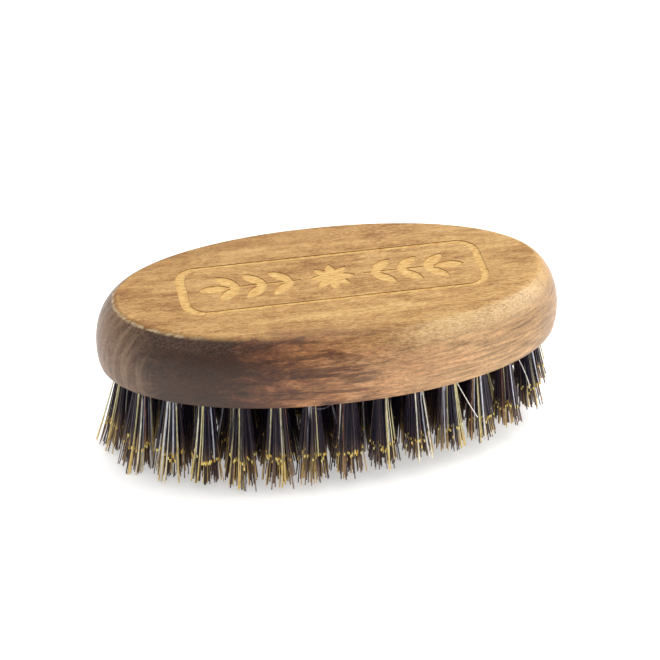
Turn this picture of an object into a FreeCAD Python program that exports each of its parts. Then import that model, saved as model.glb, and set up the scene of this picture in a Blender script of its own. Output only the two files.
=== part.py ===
import FreeCAD, Part
import math
import os

from FreeCAD import Placement, Rotation, Vector

# Oval pocket beard brush: a one-piece wooden handle block with blind tuft holes
# in its underside, three concentric rings of bristle tufts, and the flat-wire
# anchor that pins each folded tuft into its hole.
# Frame: bristle tips on z = 0, long axis along X, +Z up, millimetres.

# Handle block
LENGTH = 115.0            # along X at the widest level
WIDTH = 57.0              # along Y at the widest level
THICKNESS = 17.5
OUTLINE_POWER = 2.1       # superellipse exponent of the oval
BELT_HEIGHT = 5.0         # widest level above the underside
TOP_INSET = 5.5           # how far the shoulder draws in at the top face
TOP_SWEEP = 0.95          # share of a quarter ellipse used by the shoulder
BASE_INSET = 0.6          # how far the side draws in at the underside
BASE_SWEEP = 0.90
CREASE_RADIUS = 0.5       # softened edge around the top face
BASE_EDGE_RADIUS = 0.4    # softened edge around the underside
OUTLINE_POINTS = 48

# Bristles
EXPOSED = 25.0            # bristle length below the wood
HOLE_DIAMETER = 4.0
HOLE_DEPTH = 9.0
SHANK_CLEARANCE = 0.05    # radial gap between a tuft and its hole
FOLD_CLEARANCE = 0.2      # gap between the fold of a tuft and the hole bottom
FLARE = ((0.0, 1.95), (0.33, 2.55), (0.66, 3.2), (1.0, 4.0))   # share of length, radius

# Tuft rings: name, semi-axis X, semi-axis Y, count, outward lean of the tips, flare scale
RINGS = (
    ("outer_tuft", 50.5, 22.5, 28, 4.0, 1.0),
    ("middle_tuft", 41.5, 14.2, 18, 2.0, 1.0),
    ("inner_tuft", 31.0, 5.8, 12, 0.6, 0.95),
)

# Flat-wire anchors
ANCHOR_LENGTH = 5.0       # longer than the hole, so its ends bite the wood
ANCHOR_HEIGHT = 1.8
ANCHOR_THICKNESS = 0.4
ANCHOR_DEPTH = 6.2        # from the underside to the lower edge of the anchor
SLIT_CLEARANCE = 0.02     # per side

# Engraved panel in the top face
PANEL_CENTRE = (0.9, 0.4)
PANEL_LENGTH = 76.0
PANEL_WIDTH = 20.4
PANEL_RADIUS = 5.2
BAND_LEFT = 2.4
BAND_RIGHT = 1.9
BAND_LONG = 1.1
ENGRAVE_DEPTH = 0.2
PETALS = 8
PETAL_LENGTH = 5.6
PETAL_WIDTH = 2.5
LEAF_PAIRS = 3
LEAF_LENGTH = 7.6
LEAF_WIDTH = 3.2
LEAF_ANGLE = 42.0
LEAF_START = 9.6
LEAF_PITCH = 6.6
STEM_WIDTH = 0.8

UNDERSIDE = EXPOSED
TOP = EXPOSED + THICKNESS


def outline_wire(inset, z):
    """Closed superellipse drawn in by inset at height z."""
    a, b = LENGTH / 2 - inset, WIDTH / 2 - inset
    points = []
    for i in range(OUTLINE_POINTS):
        t = 2 * math.pi * i / OUTLINE_POINTS
        c, s = math.cos(t), math.sin(t)
        x = a * math.copysign(abs(c) ** (2 / OUTLINE_POWER), c)
        y = b * math.copysign(abs(s) ** (2 / OUTLINE_POWER), s)
        points.append(Vector(x, y, z))
    curve = Part.BSplineCurve()
    curve.interpolate(Points=points, PeriodicFlag=True)
    return Part.Wire([curve.toShape()])


def side_inset(total, sweep, u):
    """Inset of the rounded side at share u of the way from the belt to a face."""
    full = 1 - math.sqrt(1 - sweep ** 2)
    return total * (1 - math.sqrt(1 - (sweep * u) ** 2)) / full


def handle_blank():
    belt = UNDERSIDE + BELT_HEIGHT
    levels = []
    for u in (1.0, 0.7, 0.35):
        levels.append((belt - BELT_HEIGHT * u, side_inset(BASE_INSET, BASE_SWEEP, u)))
    for u in (0.0, 0.2, 0.4, 0.6, 0.75, 0.88, 0.95, 1.0):
        levels.append((belt + (TOP - belt) * u, side_inset(TOP_INSET, TOP_SWEEP, u)))
    blank = Part.makeLoft([outline_wire(inset, z) for z, inset in levels], True, False)
    crease = [e for e in blank.Edges if abs(e.BoundBox.ZMin - TOP) < 1e-4
              and abs(e.BoundBox.ZMax - TOP) < 1e-4]
    blank = blank.makeFillet(CREASE_RADIUS, crease)
    base = [e for e in blank.Edges if abs(e.BoundBox.ZMin - UNDERSIDE) < 1e-4
            and abs(e.BoundBox.ZMax - UNDERSIDE) < 1e-4]
    return blank.makeFillet(BASE_EDGE_RADIUS, base)


def rounded_rectangle(x0, x1, y0, y1, radius, z):
    """Face of a rectangle with arc corners."""
    edges = []
    corners = ((x1 - radius, y1 - radius, 0), (x0 + radius, y1 - radius, 90),
               (x0 + radius, y0 + radius, 180), (x1 - radius, y0 + radius, 270))
    last = None
    first = None
    for cx, cy, start in corners:
        arc = []
        for step in (0, 45, 90):
            angle = math.radians(start + step)
            arc.append(Vector(cx + radius * math.cos(angle), cy + radius * math.sin(angle), z))
        if last is not None:
            edges.append(Part.LineSegment(last, arc[0]).toShape())
        else:
            first = arc[0]
        edges.append(Part.Arc(*arc).toShape())
        last = arc[2]
    edges.append(Part.LineSegment(last, first).toShape())
    return Part.Face(Part.Wire(edges))


def leaf(x, y, length, width, angle, z):
    """Pointed leaf face that starts at (x, y) and runs out along angle."""
    half = width / 2
    upper = Part.Arc(Vector(0, 0, 0), Vector(length / 2, half, 0), Vector(length, 0, 0))
    lower = Part.Arc(Vector(length, 0, 0), Vector(length / 2, -half, 0), Vector(0, 0, 0))
    face = Part.Face(Part.Wire([upper.toShape(), lower.toShape()]))
    face.Placement = Placement(Vector(x, y, z), Rotation(Vector(0, 0, 1), angle))
    return face


def engraving():
    """Cutting solid of the border band, the rosette and the two sprigs."""
    z = TOP - ENGRAVE_DEPTH
    cx, cy = PANEL_CENTRE
    x0, x1 = cx - PANEL_LENGTH / 2, cx + PANEL_LENGTH / 2
    y0, y1 = cy - PANEL_WIDTH / 2, cy + PANEL_WIDTH / 2
    border = rounded_rectangle(x0, x1, y0, y1, PANEL_RADIUS, z).cut(
        rounded_rectangle(x0 + BAND_LEFT, x1 - BAND_RIGHT, y0 + BAND_LONG,
                          y1 - BAND_LONG, PANEL_RADIUS - BAND_LONG, z))
    faces = [leaf(cx, cy, PETAL_LENGTH, PETAL_WIDTH, 360.0 * i / PETALS, z)
             for i in range(PETALS)]
    sprig_end = LEAF_START + LEAF_PITCH * (LEAF_PAIRS - 1)
    for side, turn in ((1, 0.0), (-1, 180.0)):
        for i in range(LEAF_PAIRS):
            x = cx + side * (LEAF_START + LEAF_PITCH * i)
            for tilt in (LEAF_ANGLE, -LEAF_ANGLE):
                faces.append(leaf(x, cy, LEAF_LENGTH, LEAF_WIDTH, turn + side * tilt, z))
        faces.append(leaf(cx + side * (sprig_end + 2.6), cy, LEAF_LENGTH, LEAF_WIDTH, turn, z))
        xs = sorted((cx + side * (LEAF_START - 1.8), cx + side * (sprig_end + 4.0)))
        stem = Part.makePlane(xs[1] - xs[0], STEM_WIDTH,
                              Vector(xs[0], cy - STEM_WIDTH / 2, z))
        faces.append(stem)
    up = Vector(0, 0, ENGRAVE_DEPTH + 1.0)
    cutters = [border.extrude(up)] + [face.extrude(up) for face in faces]
    return cutters[0].multiFuse(cutters[1:])


def ring_places(a, b, count):
    """Points evenly spaced by arc length on an ellipse, with outward normals."""
    steps = 7200
    marks = [(0.0, 0.0)]
    x, y = a, 0.0
    for i in range(1, steps + 1):
        t = 2 * math.pi * i / steps
        nx, ny = a * math.cos(t), b * math.sin(t)
        marks.append((marks[-1][0] + math.hypot(nx - x, ny - y), t))
        x, y = nx, ny
    perimeter = marks[-1][0]
    places = []
    k = 0
    for i in range(count):
        target = perimeter * i / count
        while marks[k + 1][0] < target:
            k += 1
        (s0, t0), (s1, t1) = marks[k], marks[k + 1]
        t = t0 + (t1 - t0) * (target - s0) / (s1 - s0)
        normal = Vector(math.cos(t) / a, math.sin(t) / b, 0)
        normal.normalize()
        places.append((Vector(a * math.cos(t), b * math.sin(t), 0), normal))
    return places


def tuft_hole(place, normal):
    """Blind hole with the two slits that the anchor ends cut in its wall."""
    mouth = place + Vector(0, 0, UNDERSIDE - 1.0)
    hole = Part.makeCylinder(HOLE_DIAMETER / 2, HOLE_DEPTH + 1.0, mouth)
    slit = anchor_box(place, normal, UNDERSIDE - 1.0,
                      1.0 + ANCHOR_DEPTH + ANCHOR_HEIGHT, SLIT_CLEARANCE)
    return hole.fuse(slit)


def anchor_box(place, normal, z, height, side_gap):
    """Upright strip across the hole, at right angles to the ring's normal."""
    thick = ANCHOR_THICKNESS + 2 * side_gap
    box = Part.makeBox(thick, ANCHOR_LENGTH, height,
                       Vector(-thick / 2, -ANCHOR_LENGTH / 2, 0))
    angle = math.degrees(math.atan2(normal.y, normal.x))
    box.Placement = Placement(place + Vector(0, 0, z), Rotation(Vector(0, 0, 1), angle))
    return box


def tuft(place, normal, lean, scale):
    """Folded shank in the hole, and the splayed bundle down to the tips."""
    shank_radius = HOLE_DIAMETER / 2 - SHANK_CLEARANCE
    shank = Part.makeCylinder(shank_radius, HOLE_DEPTH - FOLD_CLEARANCE,
                              place + Vector(0, 0, UNDERSIDE))
    rings = []
    for share, radius in FLARE:
        offset = lean * (0.75 * share + 0.25 * share ** 2)
        centre = place + normal * offset + Vector(0, 0, UNDERSIDE - EXPOSED * share)
        size = shank_radius if share == 0.0 else radius * scale
        rings.append(Part.Wire([Part.Circle(centre, Vector(0, 0, 1), size).toShape()]))
    bundle = Part.makeLoft(rings, True, False)
    base = UNDERSIDE + ANCHOR_DEPTH
    slot = anchor_box(place, normal, base - SLIT_CLEARANCE,
                      ANCHOR_HEIGHT + SLIT_CLEARANCE, SLIT_CLEARANCE)
    return shank.fuse(bundle).cut(slot)


def export(shape, name):
    solids = shape.Solids
    shape = solids[0] if len(solids) == 1 else Part.makeCompound(solids)
    if not shape.isValid():
        raise RuntimeError(name + " is not a valid shape")
    shape.exportStep(os.path.join("parts", name + ".step"))


def main():
    os.makedirs("parts", exist_ok=True)
    holes, anchors = [], []
    for name, a, b, count, lean, scale in RINGS:
        for i, (place, normal) in enumerate(ring_places(a, b, count)):
            holes.append(tuft_hole(place, normal))
            anchors.append(anchor_box(place, normal, UNDERSIDE + ANCHOR_DEPTH,
                                      ANCHOR_HEIGHT, 0.0))
            export(tuft(place, normal, lean, scale), "%s_%02d" % (name, i + 1))
    block = handle_blank().cut(Part.makeCompound(holes)).cut(engraving())
    export(block, "handle_block")
    export(Part.makeCompound(anchors), "tuft_anchors")


main()
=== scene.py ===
import math
import random

import bpy
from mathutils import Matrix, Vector


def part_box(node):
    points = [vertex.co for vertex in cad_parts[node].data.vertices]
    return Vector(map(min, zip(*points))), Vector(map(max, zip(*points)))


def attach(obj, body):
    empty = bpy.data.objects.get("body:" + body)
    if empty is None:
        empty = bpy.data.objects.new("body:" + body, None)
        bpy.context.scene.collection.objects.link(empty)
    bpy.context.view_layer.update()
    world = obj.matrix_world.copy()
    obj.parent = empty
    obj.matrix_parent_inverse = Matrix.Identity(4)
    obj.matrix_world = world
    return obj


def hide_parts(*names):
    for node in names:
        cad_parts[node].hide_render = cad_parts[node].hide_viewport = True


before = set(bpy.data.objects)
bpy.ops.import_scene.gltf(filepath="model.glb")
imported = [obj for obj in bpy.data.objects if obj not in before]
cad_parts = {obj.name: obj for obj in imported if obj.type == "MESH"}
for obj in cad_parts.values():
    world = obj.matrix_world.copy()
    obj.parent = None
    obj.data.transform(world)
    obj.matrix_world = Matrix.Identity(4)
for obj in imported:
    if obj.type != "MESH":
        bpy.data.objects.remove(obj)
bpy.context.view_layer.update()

MM = 0.001
BLOCK_LOW, BLOCK_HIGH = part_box("handle_block")
TOP_Z = BLOCK_HIGH.z
UNDER_Z = BLOCK_LOW.z

MM_PER_M = 1000

# Camera: direction, distance and aim, all from the centre of the handle block
CAMERA_AZIMUTH = -11.05
CAMERA_ELEVATION = 34.48
CAMERA_DISTANCE = 0.558
CAMERA_LENS = 123.9
SENSOR_WIDTH = 36.0
CLIP_NEAR, CLIP_FAR = 0.01, 100.0
AIM_RIGHT = 0.00022        # the camera looks this far beside the centre,
AIM_DOWN = 0.00552         # and this far below it

# Studio: strength of the surroundings, and azimuth, elevation, spread, power and colour of each light
SKY_STRENGTH = 0.52
SOFTBOXES = {
    "softbox_top": (150.0, 72.0, 50.0, 2.3, (1.0, 1.0, 1.0)),
    "softbox_right": (88.0, 20.0, 34.0, 1.9, (1.0, 0.99, 0.965)),
}
FLOOR_HALF = 6.0
FLOOR_COLOUR = (0.87, 0.87, 0.865, 1.0)
FLOOR_GLOW = 0.42
FLOOR_ROUGHNESS = 0.8
FLOOR_SPECULAR = 0.1

# Wood, mm
WOOD_LEVEL = 0.74          # display colour to surface colour of the wood
HALF_LENGTH = 57.5
PANEL_CENTRE = (0.9, 0.4)  # engraved panel
PANEL_HALF = (38.5, 10.7)
PANEL_BLUR = 0.1           # its edge is blurred by this much either way


def srgb(r, g, b):
    """8-bit display colour to linear values, with full opacity."""
    out = []
    for v in (r, g, b):
        v /= 255.0
        out.append(v / 12.92 if v <= 0.04045 else ((v + 0.055) / 1.055) ** 2.4)
    return (*out, 1.0)


# ---------------------------------------------------------------- camera
def add_camera():
    a, e = math.radians(CAMERA_AZIMUTH), math.radians(CAMERA_ELEVATION)
    back = Vector((math.sin(a) * math.cos(e), -math.cos(a) * math.cos(e), math.sin(e)))
    right = Vector((math.cos(a), math.sin(a), 0))
    up = back.cross(right)
    centre = (BLOCK_LOW + BLOCK_HIGH) / 2
    centre.x = centre.y = 0.0
    place = centre + back * CAMERA_DISTANCE
    aim = centre + right * AIM_RIGHT - up * AIM_DOWN
    data = bpy.data.cameras.new("camera")
    data.lens = CAMERA_LENS
    data.sensor_width = SENSOR_WIDTH
    data.clip_start, data.clip_end = CLIP_NEAR, CLIP_FAR
    camera = bpy.data.objects.new("camera", data)
    bpy.context.scene.collection.objects.link(camera)
    camera.location = place
    camera.rotation_mode = "QUATERNION"
    camera.rotation_quaternion = (aim - place).to_track_quat("-Z", "Y")
    bpy.context.scene.camera = camera


# ---------------------------------------------------------------- light
def add_sun(name, azimuth, elevation, spread, power, colour):
    """Parallel soft light from a direction: azimuth 0 is from -Y, 90 from +X."""
    data = bpy.data.lights.new(name, "SUN")
    data.angle = math.radians(spread)
    data.energy = power
    data.color = colour
    light = bpy.data.objects.new(name, data)
    bpy.context.scene.collection.objects.link(light)
    a, e = math.radians(azimuth), math.radians(elevation)
    toward = Vector((math.sin(a) * math.cos(e), -math.cos(a) * math.cos(e), math.sin(e)))
    light.location = toward
    light.rotation_mode = "QUATERNION"
    light.rotation_quaternion = (-toward).to_track_quat("-Z", "Y")


def add_light():
    scene = bpy.context.scene
    scene.view_settings.view_transform = "Standard"
    scene.view_settings.look = "None"
    world = bpy.data.worlds.new("studio")
    scene.world = world
    world.use_nodes = True
    background = world.node_tree.nodes["Background"]
    background.inputs["Color"].default_value = (1.0, 1.0, 1.0, 1.0)
    background.inputs["Strength"].default_value = SKY_STRENGTH
    for name, values in SOFTBOXES.items():
        add_sun(name, *values)


def add_floor():
    mesh = bpy.data.meshes.new("floor")
    s = FLOOR_HALF
    mesh.from_pydata([(-s, -s, 0), (s, -s, 0), (s, s, 0), (-s, s, 0)], [], [(0, 1, 2, 3)])
    floor = bpy.data.objects.new("floor", mesh)
    bpy.context.scene.collection.objects.link(floor)
    material = bpy.data.materials.new("floor_paper")
    material.use_nodes = True
    shader = material.node_tree.nodes["Principled BSDF"]
    shader.inputs["Base Color"].default_value = FLOOR_COLOUR
    shader.inputs["Emission Color"].default_value = (1.0, 1.0, 1.0, 1.0)
    shader.inputs["Emission Strength"].default_value = FLOOR_GLOW
    shader.inputs["Roughness"].default_value = FLOOR_ROUGHNESS
    shader.inputs["Specular IOR Level"].default_value = FLOOR_SPECULAR
    mesh.materials.append(material)


# ---------------------------------------------------------------- node helpers
class Nodes:
    """Short calls for building one material's node tree."""

    def __init__(self, name):
        self.material = bpy.data.materials.new(name)
        self.material.use_nodes = True
        self.tree = self.material.node_tree
        self.shader = self.tree.nodes["Principled BSDF"]

    def new(self, kind, **values):
        node = self.tree.nodes.new(kind)
        for key, value in values.items():
            setattr(node, key, value)
        return node

    def feed(self, socket, value):
        if isinstance(value, bpy.types.NodeSocket):
            self.tree.links.new(value, socket)
        else:
            socket.default_value = value

    def maths(self, operation, a, b=0.0, c=0.0, clamp=False):
        node = self.new("ShaderNodeMath", operation=operation, use_clamp=clamp)
        for socket, value in zip(node.inputs, (a, b, c)):
            self.feed(socket, value)
        return node.outputs[0]

    def product(self, first, *others):
        for other in others:
            first = self.maths("MULTIPLY", first, other)
        return first

    def band(self, value, low, high):
        """0 below low, 1 above high, smooth between; falls if high is below low."""
        node = self.new("ShaderNodeMapRange", interpolation_type="SMOOTHSTEP")
        self.feed(node.inputs["Value"], value)
        if low < high:
            node.inputs["From Min"].default_value = low
            node.inputs["From Max"].default_value = high
        else:
            node.inputs["From Min"].default_value = high
            node.inputs["From Max"].default_value = low
            node.inputs["To Min"].default_value = 1.0
            node.inputs["To Max"].default_value = 0.0
        return node.outputs["Result"]

    def mix(self, share, a, b):
        node = self.new("ShaderNodeMix", data_type="RGBA")
        self.feed(node.inputs["Factor"], share)
        for socket, value in ((node.inputs[6], a), (node.inputs[7], b)):
            self.feed(socket, value)
        return node.outputs[2]

    def lay(self, under, mask, strength, over):
        """One colour laid over another where the mask is, at the given strength."""
        return self.mix(self.maths("MULTIPLY", mask, strength), under, over)

    def spread(self, value, low, high, to_low, to_high):
        node = self.new("ShaderNodeMapRange")
        self.feed(node.inputs["Value"], value)
        for key, number in zip(("From Min", "From Max", "To Min", "To Max"), (low, high, to_low, to_high)):
            node.inputs[key].default_value = number
        return node.outputs["Result"]

    def dimmed(self, colour, factor):
        node = self.new("ShaderNodeVectorMath", operation="SCALE")
        self.feed(node.inputs[0], colour)
        self.feed(node.inputs["Scale"], factor)
        return node.outputs[0]

    def stretched(self, vector, scale, move=(0, 0, 0)):
        node = self.new("ShaderNodeMapping")
        self.feed(node.inputs["Vector"], vector)
        node.inputs["Scale"].default_value = scale
        node.inputs["Location"].default_value = move
        return node.outputs[0]

    def noise(self, vector, scale=1.0, detail=3.0, rough=0.55, distortion=0.0):
        node = self.new("ShaderNodeTexNoise")
        self.feed(node.inputs["Vector"], vector)
        node.inputs["Scale"].default_value = scale
        node.inputs["Detail"].default_value = detail
        node.inputs["Roughness"].default_value = rough
        node.inputs["Distortion"].default_value = distortion
        return node.outputs["Fac"]

    def ramp(self, value, stops):
        node = self.new("ShaderNodeValToRGB")
        self.feed(node.inputs["Fac"], value)
        while len(node.color_ramp.elements) < len(stops):
            node.color_ramp.elements.new(0.5)
        for element, (position, colour) in zip(node.color_ramp.elements, stops):
            element.position = position
            element.color = colour
        return node.outputs["Color"]


# ---------------------------------------------------------------- wood
def display(r, g, b):
    """Surface colour that shows as this display colour under the studio light."""
    return (*(v * WOOD_LEVEL for v in srgb(r, g, b)[:3]), 1.0)


class Wood(Nodes):
    """Oiled wood in the block's own millimetres: honey on top, smoked to tan along the side."""

    def __init__(self):
        super().__init__("oiled_wood")
        place = self.new("ShaderNodeTexCoord").outputs["Object"]
        self.mm = self.stretched(place, (MM_PER_M, MM_PER_M, MM_PER_M))
        split = self.new("ShaderNodeSeparateXYZ")
        self.feed(split.inputs[0], self.mm)
        self.x, self.y, z = split.outputs
        facing = self.new("ShaderNodeSeparateXYZ")
        self.feed(facing.inputs[0], self.new("ShaderNodeNewGeometry").outputs["Normal"])
        self.up = facing.outputs[2]
        self.depth = self.maths("SUBTRACT", TOP_Z * MM_PER_M, z)      # below the top face
        self.add_patterns()

    def grained(self, stretch, move, detail, rough, distortion=0.0):
        return self.noise(self.stretched(self.mm, stretch, move), 1.0, detail, rough, distortion)

    def add_patterns(self):
        """Grain along X: long figure, broken streaks, flecks and pores, and the soft blotches."""
        figure = self.grained((0.025, 0.24, 0.20), (0, 0, 0), 4.0, 0.62, 0.8)
        self.streak = self.grained((0.26, 1.5, 1.4), (3, 1, 7), 5.0, 0.74, 0.6)
        self.fine = self.grained((0.75, 4.4, 4.0), (9, 2, 4), 3.0, 0.7, 0.2)
        self.fleck = self.band(self.grained((0.5, 3.6, 3.4), (5, 8, 1), 2.0, 0.6), 0.58, 0.68)
        self.pore = self.band(self.grained((1.0, 8.0, 7.0), (2, 6, 9), 1.0, 0.5), 0.62, 0.70)
        self.patch = self.grained((0.07, 0.15, 0.15), (1, 4, 2), 4.0, 0.65, 0.8)
        self.blotch = self.grained((0.11, 0.22, 0.26), (7, 3, 5), 5.0, 0.68, 0.9)
        self.smoke = self.grained((0.055, 0.34, 0.40), (4, 9, 2), 5.0, 0.66, 0.5)
        self.grain = self.maths("MULTIPLY", figure, 0.20)
        for part, share in ((self.streak, 0.30), (self.fine, 0.28), (self.patch, 0.22)):
            self.grain = self.maths("MULTIPLY_ADD", part, share, self.grain)
        roam = self.maths("MULTIPLY_ADD", self.band(self.x, -54.0, -34.0), 40.0, 6.0)
        self.wander = self.maths("MULTIPLY", self.maths("SUBTRACT", self.blotch, 0.5), roam)
        self.ragged = self.maths(
            "ADD",
            self.maths("MULTIPLY", self.maths("SUBTRACT", self.streak, 0.5), 1.7),
            self.maths("MULTIPLY", self.maths("SUBTRACT", self.fine, 0.5), 1.3))

    def top_colour(self):
        tone = self.maths("MULTIPLY_ADD", self.band(self.x, 18.0, 42.0), 0.014, self.grain)
        tone = self.maths("MULTIPLY_ADD", self.band(self.x, -22.0, -46.0), -0.020, tone)
        honey = self.ramp(tone, (
            (0.42, display(150, 100, 48)), (0.475, display(188, 138, 76)),
            (0.52, display(212, 164, 98)), (0.58, display(244, 200, 128))))
        honey = self.lay(honey, self.band(self.patch, 0.53, 0.66), 0.26, display(178, 130, 80))
        honey = self.lay(honey, self.fleck, 0.34, display(150, 108, 62))
        honey = self.lay(honey, self.pore, 0.45, display(120, 82, 46))
        glint = self.band(self.grained((1.1, 3.2, 3.2), (6, 1, 3), 3.0, 0.7), 0.56, 0.66)
        honey = self.lay(honey, glint, 0.40, display(246, 208, 140))
        # a thin stain above the crease at the front left
        haze = self.product(self.band(self.x, -46.0, -24.0), self.band(self.x, 18.0, -6.0),
                            self.band(self.y, -16.0, -24.5), self.band(self.smoke, 0.36, 0.60))
        return self.lay(honey, haze, 0.62, display(136, 88, 54))

    def side_contrast(self):
        """The grain as lighter and darker wood; towards the right end it follows the rim."""
        angle = self.maths("ARCTAN2", self.maths("MULTIPLY", self.y, 2.0), self.x)
        rim_place = self.new("ShaderNodeCombineXYZ")
        self.feed(rim_place.inputs[0], self.maths("MULTIPLY", angle, HALF_LENGTH))
        self.feed(rim_place.inputs[1], self.depth)
        stretched = self.stretched(rim_place.outputs[0], (0.09, 1.25, 1.0))
        rim_grain = self.noise(stretched, 1.0, 5.0, 0.7, 0.5)
        shift = self.maths("SUBTRACT", self.maths("MULTIPLY_ADD", rim_grain, 0.46, 0.27), self.grain)
        grain = self.maths("MULTIPLY_ADD", shift, self.band(self.x, 6.0, 30.0), self.grain)
        return self.spread(grain, 0.42, 0.58, 0.50, 1.5)

    def side_colour(self):
        """Smoked at the left end, brown, then tan towards the right end."""
        along = self.maths("ADD", self.maths("ADD", self.x, self.wander), HALF_LENGTH)
        side = self.ramp(self.maths("DIVIDE", along, 2 * HALF_LENGTH), (
            (0.00, display(156, 120, 92)), (0.10, display(77, 51, 37)), (0.24, display(68, 42, 24)),
            (0.34, display(122, 76, 48)), (0.45, display(186, 127, 80)), (0.57, display(214, 160, 110)),
            (0.78, display(222, 175, 124)), (0.92, display(196, 152, 104)),
            (1.00, display(186, 144, 98))))
        side = self.dimmed(side, self.side_contrast())
        rust = self.product(self.band(self.smoke, 0.47, 0.60),
                            self.product(self.band(self.x, -44.0, -28.0), self.band(self.x, 14.0, -2.0)))
        side = self.lay(side, rust, 0.72, display(72, 38, 24))
        lines = self.band(self.grained((0.10, 2.4, 2.2), (8, 5, 3), 4.0, 0.7), 0.53, 0.62)
        side = self.lay(side, lines, 0.34, display(74, 44, 26))
        calm = self.maths("MULTIPLY_ADD", self.band(self.x, 40.0, 5.0), 0.7, 0.3)
        side = self.lay(side, self.product(self.fleck, calm), 0.38, display(58, 36, 24))
        side = self.lay(side, self.product(self.pore, calm), 0.45, display(40, 26, 20))
        ends = self.band(self.maths("ABSOLUTE", self.x), 44.0, 54.0)
        rays = self.band(self.grained((0.05, 0.85, 0.06), (2, 2, 2), 4.0, 0.65), 0.47, 0.60)
        side = self.lay(side, self.product(rays, ends), 0.55, display(172, 142, 112))
        # grey hairline scratches below the crease at the left, lightened further as a painted sheen
        scratches_and_sheen = self.product(self.band(self.depth, 0.3, 1.2), self.band(self.depth, 4.5, 2.0),
                             self.band(self.fine, 0.46, 0.62), self.band(self.x, -8.0, -46.0))
        return self.lay(side, scratches_and_sheen, 0.21, display(176, 160, 140))

    def stain_edge(self):
        """Where the top's honey colour shows. The stain stops raggedly at the crease on the left and
        fades over the shoulder on the right. Returns the whole share and its sharp part."""
        far = self.maths("MULTIPLY", self.band(self.y, 4.0, 18.0), 0.22)
        creep = self.product(self.band(self.x, -46.0, -24.0), self.band(self.x, 12.0, -6.0),
                             self.product(self.band(self.y, -15.0, -22.5),
                                          self.band(self.blotch, 0.40, 0.60)))
        edge = self.maths("ADD", self.maths("ADD", self.depth, self.ragged),
                          self.maths("MULTIPLY_ADD", creep, 0.50, far))
        # painted shade: a thin dark line just past the crease along the far rim, where the side's dark
        # colour replaces the top's
        far_rim_shade = self.product(self.band(self.y, 3.0, 12.0), self.band(self.x, 34.0, 8.0),
                                self.band(self.depth, 0.02, 0.09))
        sharp = self.maths("SUBTRACT", self.band(edge, 0.95, 0.12), far_rim_shade, clamp=True)
        fading = self.maths("ADD", self.maths("MULTIPLY_ADD", self.ragged, 2.0, self.depth),
                            self.maths("MULTIPLY", far, 12.0))
        to_right = self.band(self.maths("ADD", self.x, self.wander), -12.0, 16.0)
        soft = self.product(self.band(fading, 6.0, 0.3), to_right)
        return self.maths("MAXIMUM", sharp, soft), sharp

    def painted_highlights(self, colour):
        """A painted highlight over the right shoulder, and a painted highlight line along the crease at
        the left.
        """
        # painted highlight: a pale sheen band over the right shoulder
        shoulder = self.product(
            self.product(self.band(self.depth, 0.1, 0.9), self.band(self.depth, 6.5, 2.0)),
            self.product(self.band(self.x, 4.0, 26.0), self.band(self.x, 56.0, 44.0)),
            self.maths("MULTIPLY_ADD", self.band(self.fine, 0.44, 0.58), 0.7, 0.25))
        colour = self.lay(colour, shoulder, 0.75, display(252, 220, 170))
        # painted highlight: a pale line along the crease at the left
        crease_highlight = self.product(self.band(self.depth, 0.25, 0.45), self.band(self.depth, 1.0, 0.6),
                            self.band(self.x, -30.0, -42.0), self.band(self.streak, 0.46, 0.54))
        return self.lay(colour, crease_highlight, 0.8, display(226, 200, 160))

    def in_panel(self, value, centre, half):
        off = self.maths("ABSOLUTE", self.maths("SUBTRACT", value, centre))
        return self.band(off, half + PANEL_BLUR, half - PANEL_BLUR)

    def engrave(self, colour):
        """Raw pale wood with a few scorch specks in the cuts, and darker walls. Returns the share too."""
        inside = self.product(self.in_panel(self.x, PANEL_CENTRE[0], PANEL_HALF[0]),
                              self.in_panel(self.y, PANEL_CENTRE[1], PANEL_HALF[1]))
        cut = self.product(inside, self.band(self.depth, 0.10, 0.17))
        raw = self.ramp(self.grained((0.5, 2.2, 2.2), (4, 4, 4), 4.0, 0.7), (
            (0.36, display(206, 150, 80)), (0.50, display(238, 190, 110)), (0.62, display(252, 215, 142))))
        speck = self.band(self.noise(self.mm, 1.3, 3.0, 0.7), 0.62, 0.70)
        raw = self.lay(raw, speck, 0.65, display(136, 92, 48))
        colour = self.lay(colour, cut, 0.94, raw)
        wall = self.product(inside, self.band(self.up, 0.7, 0.4), self.band(self.depth, 0.3, 0.22))
        char = self.maths("MULTIPLY_ADD", self.band(self.streak, 0.44, 0.58), 0.55, 0.1)
        return self.lay(colour, wall, char, display(120, 78, 40)), cut

    def add_surface(self, smooth_parts):
        rough = self.maths("MULTIPLY_ADD", self.streak, 0.16, 0.30)
        rough = self.maths("MULTIPLY_ADD", smooth_parts, 0.16, rough)
        self.feed(self.shader.inputs["Roughness"], rough)
        self.shader.inputs["Specular IOR Level"].default_value = 0.36
        bump = self.new("ShaderNodeBump")
        bump.inputs["Strength"].default_value = 0.4
        bump.inputs["Distance"].default_value = 0.00012
        holes = self.maths("MULTIPLY_ADD", self.fleck, 0.4, self.maths("MULTIPLY", self.pore, 0.8))
        height = self.maths("SUBTRACT", self.maths("MULTIPLY_ADD", self.streak, 0.6, self.fine), holes)
        self.feed(bump.inputs["Height"], height)
        self.feed(self.shader.inputs["Normal"], bump.outputs[0])


def wood_material():
    wood = Wood()
    top, sharp = wood.stain_edge()
    colour = wood.mix(top, wood.side_colour(), wood.top_colour())
    colour, cut = wood.engrave(wood.painted_highlights(colour))
    wood.feed(wood.shader.inputs["Base Color"], colour)
    wood.add_surface(wood.maths("MAXIMUM", sharp, cut))
    return wood.material


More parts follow.
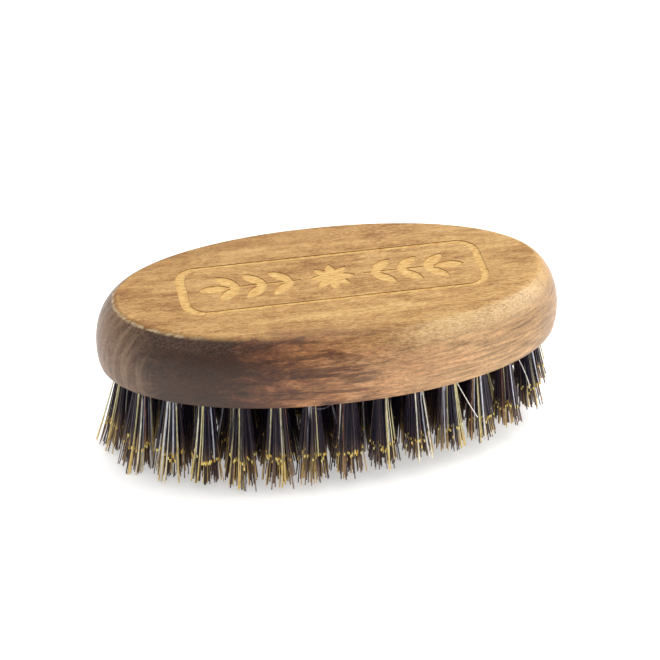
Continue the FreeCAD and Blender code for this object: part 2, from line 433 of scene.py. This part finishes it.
def wire_material():
    n = Nodes("anchor_wire")
    place = n.new("ShaderNodeTexCoord").outputs["Object"]
    drawn = n.noise(n.stretched(place, (400, 400, 6000)), 1.0, 3.0, 0.6)
    n.feed(n.shader.inputs["Base Color"],
           n.ramp(drawn, ((0.35, srgb(150, 146, 138)), (0.65, srgb(206, 203, 196)))))
    n.shader.inputs["Metallic"].default_value = 1.0
    n.feed(n.shader.inputs["Roughness"], n.maths("ADD", 0.25, n.maths("MULTIPLY", drawn, 0.2)))
    return n.material


def hair_material():
    n = Nodes("bristle_hair")
    tint = n.new("ShaderNodeAttribute", attribute_type="GEOMETRY", attribute_name="tint")
    place = n.new("ShaderNodeTexCoord").outputs["Object"]
    mottle = n.noise(n.stretched(place, (2600, 2600, 500)), 1.0, 2.0, 0.5)
    shade = n.spread(mottle, 0.3, 0.7, 0.72, 1.25)
    n.feed(n.shader.inputs["Base Color"], n.dimmed(tint.outputs["Color"], shade))
    n.shader.inputs["Roughness"].default_value = 0.42
    n.shader.inputs["Specular IOR Level"].default_value = 0.30
    return n.material


# ---------------------------------------------------------------- bristles
# ring: bristles in a tuft, sides of a bristle, thickness factor, splay of the tips, share of short ones
RINGS = {
    "outer": (160, 4, 1.0, 1.12, 0.40),
    "middle": (180, 3, 1.5, 1.80, 0.10),
    "inner": (115, 3, 1.7, 1.80, 0.10),
}
FIRST_SEED = 1000
HOLE_FILL = 0.92           # share of the tuft's radius that the bristles fill at the hole
STRAIGHT_SPLAY = 0.72      # share of the splay that grows evenly; the rest comes towards the tip
STRAIGHT_LEAN = 0.75       # the same for the lean of the whole tuft
LONG_STEPS = (-0.10, 0.0, 0.25, 0.5, 0.7, 0.87, 1.0)
SHORT_STEPS = (-0.10, 0.0, 0.35, 0.7, 0.955, 0.962, 1.0)
CUT_STEP = 0.96            # the bright cut end of a short bristle starts here
TINT_LOW, TINT_HIGH = 0.50, 0.80    # stretch over which a bristle turns to its tip colour
FLAG_LOW, FLAG_HIGH = 0.55, 0.90    # stretch over which its end widens,
FLAG_GROWTH = 0.26                  # by this share

# Radii and sideways wander, mm
PALE_RADII = (0.13, 0.19)
DARK_RADII = (0.095, 0.135)
CUT_RADIUS = 0.15
DRIFT, BEND = 0.42, 0.22
WILD_SHARE, WILD_DRIFT = 0.03, 2.8  # a few bristles drift this many times further

# Lengths, as shares of the full one
LONG_TOP, LONG_SPREAD = 0.996, 0.03
CROWN_SPREAD = 0.028
LENGTH_LIMIT = 0.994
SHORT_OUTWARD = 0.30       # more short ones on a tuft's outer face,
SHORT_PALE = 0.25          # and fewer among the pale ones

# Pale bristles gather near a few directions on each tuft's outer face
GLINTS = 2
GLINT_ARC = 1.3
GLINT_COSINE, GLINT_RIM = 0.965, 0.70
PALE_NEAR, PALE_ELSEWHERE = 0.40, 0.03
GOLDEN_ANGLE = 2.399963
ANGLE_SPREAD = 0.25

# Each bristle has its own strip of the texture
UV_ROWS = 4
UV_SIDE_MARGIN, UV_END_MARGIN = 0.2, 0.12

# share, colour near the wood, colour at the tip
DARK_COATS = (
    (0.56, srgb(35, 29, 48), srgb(78, 62, 58)),             # black
    (0.26, srgb(58, 47, 58), srgb(128, 104, 88)),           # umber
    (0.18, srgb(82, 66, 66), srgb(212, 178, 112)),          # amber
)
PALE_COATS = (
    (0.50, srgb(219, 209, 160), srgb(230, 200, 128)),       # gold
    (0.24, srgb(246, 242, 222), srgb(244, 230, 192)),       # straw
    (0.08, srgb(150, 106, 88), srgb(188, 150, 110)),        # russet
    (0.18, srgb(206, 208, 222), srgb(226, 222, 216)),       # grey
)
# golden cut ends of the short bristles, brightened as painted glints
CUT_TIP_GOLD_AND_GLINT = (srgb(255, 240, 150), srgb(240, 190, 72))


def pick_coat(rng, coats):
    """Colours near the wood and at the tip of one bristle."""
    value = rng.random()
    for coat in coats:
        value -= coat[0]
        if value <= 0:
            return coat[1:]
    return coats[0][1:]


def smooth(value, low, high):
    t = min(max((value - low) / (high - low), 0.0), 1.0)
    return t * t * (3 - 2 * t)


def curved(value, straight):
    return straight * value + (1 - straight) * value ** 2


def blend(a, b, share):
    return [p + (q - p) * share for p, q in zip(a, b)]


def tuft_axis(name):
    """Centre and radius of a tuft at the hole and at the tips, from its CAD solid."""
    places = [v.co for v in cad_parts[name].data.vertices]
    ends = []
    for chosen in ([p for p in places if p.z > UNDER_Z + 1 * MM], [p for p in places if p.z < 0.3 * MM]):
        low = Vector((min(p.x for p in chosen), min(p.y for p in chosen)))
        high = Vector((max(p.x for p in chosen), max(p.y for p in chosen)))
        ends.append(((low + high) / 2, (high.x - low.x) / 2))
    return ends


def trimmed(x):
    """Share of the full length left by the cut, which rises a little towards +X."""
    x = x / MM
    return (1.0 - 0.05 * smooth(x, -52.0, -38.0) - 0.12 * smooth(x, -22.0, 18.0)
            - 0.02 * smooth(x, 30.0, 50.0))


def crowned(x):
    """Share of the full length at which the short bristles end."""
    return 0.63 - (0.0017 if x < 0 else 0.0008) * x / MM


def bristle_path(axis, splay, offset, length, drift, bend, steps, thick):
    """Points of one bristle, from inside its hole down to its tip."""
    (root, root_r), (tip, tip_r) = axis
    path = []
    for step in steps:
        u = step * length
        down = max(u, 0.0)
        snug = min(root_r * HOLE_FILL, root_r - thick)
        fan = snug + (tip_r * splay - root_r) * curved(down, STRAIGHT_SPLAY)
        flat = root + (tip - root) * curved(down, STRAIGHT_LEAN) + offset * fan
        flat = flat + drift * down + bend * math.sin(math.pi * down)
        path.append(Vector((flat.x, flat.y, UNDER_Z * (1 - u))))
    return path


def tube_rings(path, radii, sides):
    """Vertices of a thin tube along a path."""
    verts = []
    for i, (p, r) in enumerate(zip(path, radii)):
        ahead = path[min(i + 1, len(path) - 1)] - path[max(i - 1, 0)]
        ahead.normalize()
        side = ahead.cross(Vector((1, 0, 0)))
        side.normalize()
        other = ahead.cross(side)
        for k in range(sides):
            t = 2 * math.pi * k / sides
            verts.append(p + side * (math.cos(t) * r) + other * (math.sin(t) * r))
    return verts


def tube_faces(base, rings, sides, index, columns):
    """Faces of one closed tube, and their corners on that tube's own strip of the texture."""
    row, column = index % UV_ROWS, index // UV_ROWS

    def spot(k, j):
        across = UV_SIDE_MARGIN + (1 - 2 * UV_SIDE_MARGIN) * k / sides
        along = UV_END_MARGIN + (1 - 2 * UV_END_MARGIN) * j / (rings - 1)
        return (column + across) / columns, (row + along) / UV_ROWS

    faces, uvs = [], []
    for j in range(rings - 1):
        for k in range(sides):
            a, b = base + j * sides + k, base + j * sides + (k + 1) % sides
            faces.append((a, a + sides, b + sides, b))
            uvs += [spot(k, j), spot(k, j + 1), spot(k + 1, j + 1), spot(k + 1, j)]
    last = base + (rings - 1) * sides
    caps = ((range(base, base + sides), -0.5),
            (reversed(range(last, last + sides)), rings - 0.5))
    for corners, level in caps:
        faces.append(tuple(corners))
        uvs += [spot(k + 0.5, level + 0.3 * (k % 2)) for k in range(sides)]
    return faces, uvs


def bristle_object(name, verts, faces, tints, uvs, hair):
    mesh = bpy.data.meshes.new(name)
    mesh.from_pydata(verts, [], faces)
    tint = mesh.color_attributes.new("tint", "FLOAT_COLOR", "POINT")
    tint.data.foreach_set("color", [v for shade in tints for v in (*shade[:3], 1.0)])
    layer = mesh.uv_layers.new(name="OFBake")
    layer.data.foreach_set("uv", [v for corner in uvs for v in corner])
    mesh.materials.append(hair)
    mesh.update()
    piece = bpy.data.objects.new(name, mesh)
    bpy.context.scene.collection.objects.link(piece)
    return piece


def build_tuft(name, seed, hair):
    rng = random.Random(seed)
    axis = tuft_axis(name)
    root, tip = axis[0][0], axis[1][0]
    outward = (tip - root).normalized()
    count, sides, stout, splay, short_share = RINGS[name.split("_")[0]]
    cut, crown = trimmed(tip.x), crowned(tip.x)
    heading = math.atan2(outward.y, outward.x)
    glints = [heading + rng.uniform(-GLINT_ARC, GLINT_ARC) for _ in range(GLINTS)]
    columns = math.ceil(count / UV_ROWS)
    verts, faces, tints, uvs = [], [], [], []
    for i in range(count):
        rho = math.sqrt((i + 0.5) / count)
        phi = i * GOLDEN_ANGLE + rng.uniform(-ANGLE_SPREAD, ANGLE_SPREAD)
        offset = Vector((math.cos(phi), math.sin(phi))) * rho
        facing = max(math.cos(phi - glint) for glint in glints)
        near_glint = facing > GLINT_COSINE and rho > GLINT_RIM
        pale = rng.random() < (PALE_NEAR if near_glint else PALE_ELSEWHERE)
        near, far = pick_coat(rng, PALE_COATS if pale else DARK_COATS)
        chance = short_share + SHORT_OUTWARD * offset.dot(outward) - (SHORT_PALE if pale else 0.0)
        short = rng.random() < chance
        if short:
            length = crown + rng.gauss(0, CROWN_SPREAD)
        else:
            length = cut * (LONG_TOP - abs(rng.gauss(0, LONG_SPREAD)))
        length = min(length, LENGTH_LIMIT)
        drift = Vector((rng.gauss(0, DRIFT), rng.gauss(0, DRIFT))) * MM
        bend = Vector((rng.gauss(0, BEND), rng.gauss(0, BEND))) * MM
        if rng.random() < WILD_SHARE:
            drift *= WILD_DRIFT
        thick = rng.uniform(*(PALE_RADII if pale else DARK_RADII)) * stout * MM
        cut_hue = rng.random()
        steps = SHORT_STEPS if short else LONG_STEPS
        path = bristle_path(axis, splay, offset, length, drift, bend, steps, thick)
        radii, shades = [], []
        for step in steps:
            # the cut end: gold, with a painted glint
            if short and step > CUT_STEP:
                shades.append(blend(*CUT_TIP_GOLD_AND_GLINT, cut_hue))
                radii.append(max(thick, CUT_RADIUS * MM))
            else:
                reach = step * length
                shades.append(blend(near, far, smooth(reach, TINT_LOW, TINT_HIGH)))
                radii.append(thick * (1.0 + FLAG_GROWTH * smooth(reach, FLAG_LOW, FLAG_HIGH)))
        more_faces, more_uvs = tube_faces(len(verts), len(path), sides, i, columns)
        verts += tube_rings(path, radii, sides)
        faces += more_faces
        uvs += more_uvs
        for shade in shades:
            tints += [shade] * sides
    tuft = bristle_object(name + "_bristles", verts, faces, tints, uvs, hair)
    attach(tuft, "root")
    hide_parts(name)


# A loose hair that arches out just under the wood, and two bristles that cross their neighbours:
# the four control points of a smooth curve (mm), radius (mm), colour
STRAYS = (
    (((-13.0, -21.8, 24.4), (-10.4, -29.0, 24.2), (-5.0, -29.4, 23.4), (-2.0, -22.2, 24.2)),
     0.05, srgb(150, 146, 160)),
    (((26.3, -20.2, 24.8), (28.4, -22.4, 20.4), (30.4, -24.2, 16.8), (32.2, -24.4, 13.4)),
     0.11, srgb(238, 234, 220)),
    (((43.6, -14.4, 24.8), (45.4, -16.8, 21.0), (46.6, -18.0, 18.4), (46.9, -18.2, 15.6)),
     0.10, srgb(228, 224, 214)),
)
STRAY_STEPS = 16
STRAY_SIDES = 4


def build_strays(hair):
    verts, faces, tints, uvs = [], [], [], []
    for index, (points, radius, colour) in enumerate(STRAYS):
        knots = [Vector(point) * MM for point in points]
        path = []
        for step in range(STRAY_STEPS + 1):
            t = step / STRAY_STEPS
            shares = ((1 - t) ** 3, 3 * t * (1 - t) ** 2, 3 * t * t * (1 - t), t ** 3)
            path.append(sum((knot * share for knot, share in zip(knots, shares)), Vector()))
        more_faces, more_uvs = tube_faces(len(verts), len(path), STRAY_SIDES, index, 1)
        verts += tube_rings(path, [radius * MM] * len(path), STRAY_SIDES)
        faces += more_faces
        uvs += more_uvs
        tints += [colour] * (STRAY_SIDES * len(path))
    strays = bristle_object("stray_bristles", verts, faces, tints, uvs, hair)
    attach(strays, "root")


# ---------------------------------------------------------------- assembly
def paint(name, material):
    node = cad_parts[name]
    node.data.materials.clear()
    node.data.materials.append(material)


add_camera()
add_light()
add_floor()
paint("handle_block", wood_material())
paint("tuft_anchors", wire_material())
hair = hair_material()
tufts = sorted(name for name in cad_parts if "_tuft_" in name)
for index, name in enumerate(tufts):
    build_tuft(name, FIRST_SEED + index, hair)
build_strays(hair)
